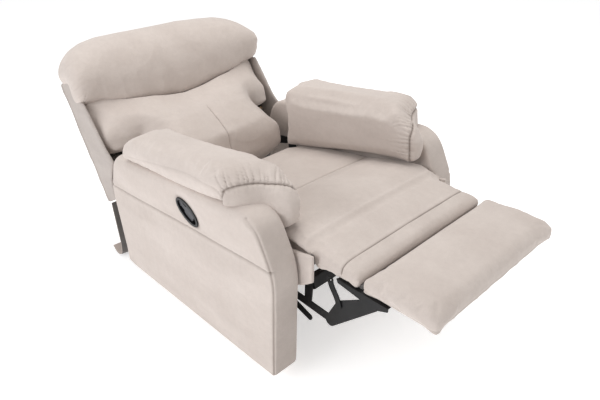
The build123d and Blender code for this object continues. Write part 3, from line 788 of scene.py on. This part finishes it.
def make_headrest():
    obj = rounded(cad_copy("headrest_upholstery", "headrest_pillow"), 0.007, 22)
    obj = inflate(obj, pressure=5.0, cap=0.016, frames=14)
    co = coords_of(obj)
    co[:, 0] *= 1.028
    set_coords(obj, co)
    s, t = back_frame(co)
    lower = (1 - soft_step(s, 0.375, 0.500)) * soft_step(t, 0.055, 0.11)
    upper = soft_step(s, 0.400, 0.605)
    shift = -(0.386 - crease_height(co[:, 0])) * lower - (0.612 - top_height(co[:, 0])) * upper
    slide_along(obj, shift)
    smoothed(obj, 8)
    smoothed(obj, 45, soft_step(np.abs(coords_of(obj)[:, 0]), 0.375, 0.420))
    subdivided(obj)
    co = coords_of(obj)
    s, t = back_frame(co)
    front = soft_step(t, 0.10, 0.15)
    # vertical slack folds over the lower front and short pleats at each lower corner
    low_front = front * (1 - soft_step(s - crease_height(co[:, 0]), 0.02, 0.16))
    amount = 0.0022 * (1 - 2 * np.abs(ripple(co * np.array([1, 0.25, 0.25]), 13.0, 21)) ** 0.8)
    push(obj, amount * (0.3 + 0.7 * low_front) * front)
    for side in (-1, 1):
        corner = line_through([(side * x, *end_place(s, t)) for x, s, t in HEADREST_CORNER])
        gather(obj, corner, 0.016, 0.0035, 0.030, front, 4 + side)
    wrinkle(obj, 0.0020, 5.0, 8)
    finish_piece(obj, "back", 0.8, "headrest_pillow")


def end_place(s, t):
    """(y, z) in millimetres of a point along and forward on the back, given in metres."""
    p = BACK_FOOT + UP_BACK * s + OUT_BACK * t
    return p.y / MM, p.z / MM


def make_lumbar():
    rest = 0.060
    upper_part = ((0.246, 0.238), (0.300, 0.178), (0.330, 0.152), (0.377, 0.128), (0.377, rest))
    body = ((-0.010, rest), (-0.042, 0.290), (-0.022, 0.318), (0.051, 0.337), (0.155, 0.284)) + upper_part
    wings = ((0.183, rest), (0.183, 0.200)) + upper_part
    parts = []
    for outline, half in ((body, 0.267), (wings, 0.412)):
        ring = [tuple(v * MM for v in end_place(*p)) for p in outline]
        parts.append(extruded("lumbar_part", ring, -half, half))
    obj = rounded(joined("lumbar_upholstery", *parts), 0.007, 40)
    obj = inflate(obj, pressure=6.0, cap=0.020, frames=16)
    co = coords_of(obj)
    s, t = back_frame(co)
    # the wings thin out towards their ends, and the front is one surface across
    wing = soft_step(np.abs(co[:, 0]), 0.13, 0.430) * soft_step(s, 0.10, 0.20)
    thin = np.clip(t - 0.075, 0, None) * 0.52 * wing
    set_coords(obj, co - thin[:, None] * np.array(OUT_BACK))
    upper = soft_step(s, 0.14, 0.36) * soft_step(t, 0.055, 0.09)
    slide_along(obj, (crease_height(co[:, 0]) - 0.377 + 0.016) * upper)
    smoothed(obj, 14)
    subdivided(obj)
    cut(obj, (0, 0, 0), (1, 0, 0), SEAM_LOOPS)
    co = coords_of(obj)
    s, t = back_frame(co)
    low = (1 - soft_step(s, 0.20, 0.235)) * soft_step(t, 0.12, 0.16)
    bulge = np.exp(-((np.abs(co[:, 0]) - 0.13) / 0.11) ** 2)
    push(obj, 0.006 * bulge * low - 0.004 * np.exp(-(co[:, 0] / 0.03) ** 2) * low)
    seam(obj, coords_of(obj)[:, 0], 0.0030, 0.0030, low, 0.35)
    co = coords_of(obj)
    s, t = back_frame(co)
    front = soft_step(t, 0.10, 0.14)
    wrinkle(obj, 0.0026, 5.0, 31, front)
    wrinkle(obj, 0.0012, 12.0, 33, front * (1 - soft_step(s, 0.1, 0.3)), (0.5, 1.0, 1.0))
    finish_piece(obj, "back", 0.8, "lumbar_cushion")


# the shell's side wall carried up under the headrest, (along, forward) on the back
SIDE_FILL = ((0.360, 0.004), (0.360, 0.112), (0.405, 0.112), (0.484, 0.086), (0.484, 0.004))


def make_back_shell():
    fills = []
    for x in (-0.4245, 0.4125):
        ring = [end_place(*p) for p in SIDE_FILL]
        fills.append(extruded("side_fill", [(y * MM, z * MM) for y, z in ring], x, x + 0.012))
    obj = rounded(joined("back_outside_upholstery", cad_copy("shell_copy", "back_shell"), *fills), 0.0055, 5)
    subdivided(obj)
    co = coords_of(obj)
    _, t = back_frame(co)
    side = soft_step(np.abs(co[:, 0]), SHELL_SIDE - 0.012, SHELL_SIDE - 0.004)
    rear = 1 - soft_step(t, 0.002, 0.008)
    for x in (-0.270, 0.270):
        seam(obj, co[:, 0] - x, 0.0034, 0.0024, rear, 0.4)
    _, t = back_frame(coords_of(obj))
    seam(obj, t - 0.014, 0.0034, 0.0022, side, 0.45)
    wrinkle(obj, 0.0014, 8.0, 41, side + rear, (1.0, 1.0, 1.0))
    finish_piece(obj, "back", 0.5, "back_shell", material=SHADED)


# ---- seat and footrest ---------------------------------------------------------------------------
seat_low, seat_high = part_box("seat_cushion")
chaise_low, chaise_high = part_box("chaise_pad")
foot_low, foot_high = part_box("footrest_pad")
SEAT_HALF, CHAISE_HALF = 0.2665, (chaise_high[0] - chaise_low[0]) / 2
SEAM_REAR, RIDGE, SEAM_FRONT = -0.109, -0.400, -0.537


def make_seat():
    """Seat cushion and the pad in front of it, under one cover that runs on over the fold line."""
    top = [(seat_high[1], 0.373), (0.10, 0.411), (SEAM_REAR, 0.447), (-0.19, 0.470), (-0.30, 0.494),
           (-0.345, 0.500), (-0.392, 0.494)]
    seat_part = extruded("seat_rear", [(seat_high[1], seat_low[2])] + top
                         + [(-0.392, 0.478), (-0.3715, 0.478), (-0.3715, 0.408)], -SEAT_HALF, SEAT_HALF)
    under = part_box("chaise_board")[0][2] - 0.004
    front = [(-0.3905, 0.4775), (-0.3905, 0.495), (-0.43, 0.490), (-0.48, 0.482), (-0.537, 0.474),
             (-0.575, 0.470), (-0.597, 0.464), (chaise_low[1], 0.450), (chaise_low[1] + 0.004, under + 0.004),
             (chaise_low[1] + 0.012, under), (-0.436, under), (-0.432, 0.470), (-0.430, 0.4775)]
    front_part = extruded("seat_front", front, -CHAISE_HALF, CHAISE_HALF)
    # the cover runs on under the pads and out to the arms, over the side rails
    deck = [(0.268, 0.3735), (-0.345, 0.4985), (-0.392, 0.4925), (-0.425, 0.4885), (-0.436, 0.480),
            (-0.436, 0.471), (-0.392, 0.476), (-0.345, 0.481), (0.268, 0.3560)]
    decking = extruded("seat_decking", deck, -0.331, 0.331)
    obj = rounded(joined("seat_upholstery", seat_part, front_part, decking), 0.0065, 9)
    obj = inflate(obj, pressure=4.0, cap=0.007, frames=12)
    subdivided(obj)
    for y in (SEAM_REAR, SEAM_FRONT):
        cut(obj, (0, y, 0), (0, 1, 0), SEAM_LOOPS)
    co = coords_of(obj)
    n = normals_of(obj)
    up = soft_step(n[:, 2], 0.2, 0.7)
    half = np.where(co[:, 1] > -0.39, SEAT_HALF + 0.03, CHAISE_HALF)
    edge = np.clip(1 - (np.abs(co[:, 0]) / half) ** 2, 0, 1)
    rear_panel = np.exp(-((co[:, 1] - 0.09) / 0.13) ** 2)
    front_panel = np.exp(-((co[:, 1] + 0.25) / 0.11) ** 2)
    pads = 0.010 * rear_panel + 0.011 * front_panel + 0.004 * np.exp(-((co[:, 1] + 0.47) / 0.05) ** 2)
    lift = up * (pads * edge - 0.003 * (1 - edge))
    lift -= up * 0.006 * np.exp(-((co[:, 1] - SEAM_REAR) / 0.035) ** 2)
    lift += up * 0.0035 * np.exp(-((co[:, 1] - RIDGE) / 0.009) ** 2)
    lift -= up * 0.0030 * np.exp(-((co[:, 1] - RIDGE + 0.022) / 0.012) ** 2)
    set_coords(obj, co + np.stack([0 * lift, 0 * lift, lift], axis=1))
    co = coords_of(obj)
    seam(obj, co[:, 1] - SEAM_REAR, 0.0036, 0.0030, up, 0.4)
    upper = soft_step(normals_of(obj)[:, 2], -0.4, 0.2)
    seam(obj, coords_of(obj)[:, 1] - SEAM_FRONT, 0.0026, 0.0034, upper, 0.95)
    co = coords_of(obj)
    wrinkle(obj, 0.0020, 6.0, 51, up, (0.45, 1.3, 1.0))
    near_ridge = up * np.exp(-((co[:, 1] - RIDGE) / 0.06) ** 2)
    wrinkle(obj, 0.0016, 11.0, 53, near_ridge, (0.35, 1.5, 1.0))
    # side edges pull in and pucker where the cover turns down
    side = soft_step(np.abs(co[:, 0]), 0.255, 0.30) * (co[:, 1] < -0.38)
    pucker = np.sin(co[:, 1] * 190 + 2.5 * ripple(co, 12.0, 55)) * side
    push(obj, 0.0005 * pucker)
    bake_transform(obj)
    finish_piece(obj, None, 0.75, "seat_cushion", "chaise_pad")


def make_footrest():
    low, high = foot_low, foot_high
    under = low[2] - 0.004
    outline = [(high[1], under), (high[1], 0.466), (high[1] - 0.012, 0.476), (high[1] - 0.12, 0.484),
               (low[1] + 0.03, 0.478), (low[1] + 0.004, 0.462), (low[1], 0.446), (low[1], under)]
    obj = rounded(extruded("footrest_upholstery", outline, low[0], high[0]), 0.006, 7)
    obj = inflate(obj, pressure=5.0, cap=0.008, frames=12)
    subdivided(obj)
    co = coords_of(obj)
    n = normals_of(obj)
    up = soft_step(n[:, 2], 0.1, 0.7)
    middle = (low[1] + high[1]) / 2
    crown = 1 - np.clip(np.abs(co[:, 0]) / 0.31, 0, 1) ** 3
    crown = crown * (1 - np.clip(np.abs(co[:, 1] - middle) / 0.125, 0, 1) ** 3)
    push(obj, 0.006 * crown * up)
    co = coords_of(obj)
    wrinkle(obj, 0.0016, 6.0, 61, up, (0.6, 1.1, 1.0))
    # soft dents along the front roll
    roll = soft_step(-co[:, 1], -low[1] - 0.09, -low[1] - 0.02)
    wrinkle(obj, 0.0022, 9.0, 63, roll * (n[:, 2] > -0.5), (1.3, 0.4, 0.4))
    seam(obj, coords_of(obj)[:, 2] - (low[2] + 0.011), 0.003, 0.0018,
         soft_step(1 - np.abs(n[:, 2]), 0.5, 0.9), 0.3)
    finish_piece(obj, "footrest", 0.8, "footrest_pad")


def make_side_rails():
    for side, sign in (("left", 1), ("right", -1)):
        node = nodes[f"seat_side_rail_{side}"]
        low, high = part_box(f"seat_side_rail_{side}")
        ring = hull_outline([(v.co.y, v.co.z) for v in node.data.vertices], 200)
        obj = extruded(f"seat_side_{side}_upholstery", ring, low[0], high[0])
        obj = rounded(obj, 0.0045, 5)
        subdivided(obj)
        wrinkle(obj, 0.0007, 12.0, 71 + sign, None, (1.0, 1.0, 0.4))
        finish_piece(obj, "seat", 0.3, f"seat_side_rail_{side}")


# ---- rear flap -----------------------------------------------------------------------------------
FLAP_LINE = ((569, 261), (558, 160), (549, 70), (562, 20), (596, 8), (628, 30))


def make_flap():
    """Cloth hung from the back's lower edge, its free end turned up on the floor."""
    line = line_through([(0, y, z) for y, z in FLAP_LINE], 16)
    low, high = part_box("rear_flap")
    across = 90
    length = float(np.linalg.norm(np.diff(line, axis=0), axis=1).sum())
    steps = lengths_along(line)
    bm = bmesh.new()
    rows = []
    for s, p in zip(steps, line):
        free = s / length
        row = []
        for k in range(across + 1):
            x = low[0] + 0.001 + (high[0] - low[0] - 0.002) * k / across
            sway = 0.007 * free * math.sin(x * 9 + 0.8) + 0.004 * free * math.sin(x * 23)
            lift = 0.004 * max(0.0, free - 0.75) * math.sin(x * 17 + 1) * 4
            row.append(bm.verts.new((x, p[1] + sway, max(0.003, p[2] + lift))))
        rows.append(row)
    for a, b in zip(rows[:-1], rows[1:]):
        for k in range(across):
            bm.faces.new((a[k], a[k + 1], b[k + 1], b[k]))
    bm.normal_update()
    obj = built("rear_flap_cloth", bm)
    solid = obj.modifiers.new("thick", "SOLIDIFY")
    solid.thickness, solid.offset = 0.0024, 0.0
    # the inner face, turned away from the light, gets the near-black suede: painted shade
    solid.material_offset = 1
    obj.data.materials.append(SUEDE)
    obj.data.materials.append(NEAR_BLACK_SUEDE)
    baked(obj)
    subdivided(obj)
    smooth_shade(obj)
    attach(obj, "rear_flap")
    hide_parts("rear_flap")


# ---- the scene -----------------------------------------------------------------------------------
set_camera()
set_light()
make_floor()
dress_cad()
make_arms()
make_arm_pads()
make_back_shell()
make_headrest()
make_lumbar()
make_seat()
make_footrest()
make_side_rails()
make_flap()
